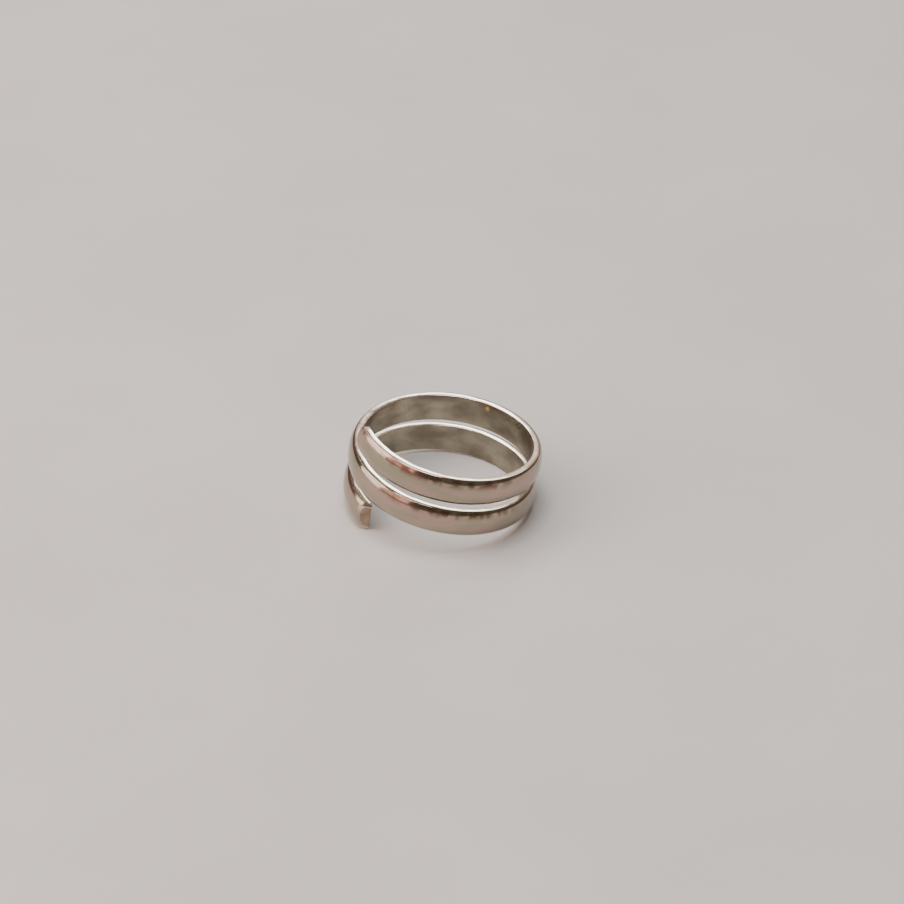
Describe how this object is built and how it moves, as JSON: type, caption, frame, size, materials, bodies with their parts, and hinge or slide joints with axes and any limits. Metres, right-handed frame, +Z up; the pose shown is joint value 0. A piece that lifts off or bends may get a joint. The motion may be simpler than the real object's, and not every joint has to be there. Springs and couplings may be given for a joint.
{
  "type": "coiled wrap ring",
  "caption": "Plain finger ring coiled from one length of half-round polished silver wire, with two open ends that lie one over the other.",
  "frame": {"origin": "middle of the ring's footprint, on the surface that it lies on", "axes": "+Z up from the surface, -Y towards the side where the two ends lie one over the other at the left, +X to the right"},
  "size_m": [0.02, 0.0194, 0.0107],
  "materials": {
    "silver": "polished silver with fine wear scratches"
  },
  "bodies": {
    "root": {"band": "silver"}
  },
  "joints": []
}
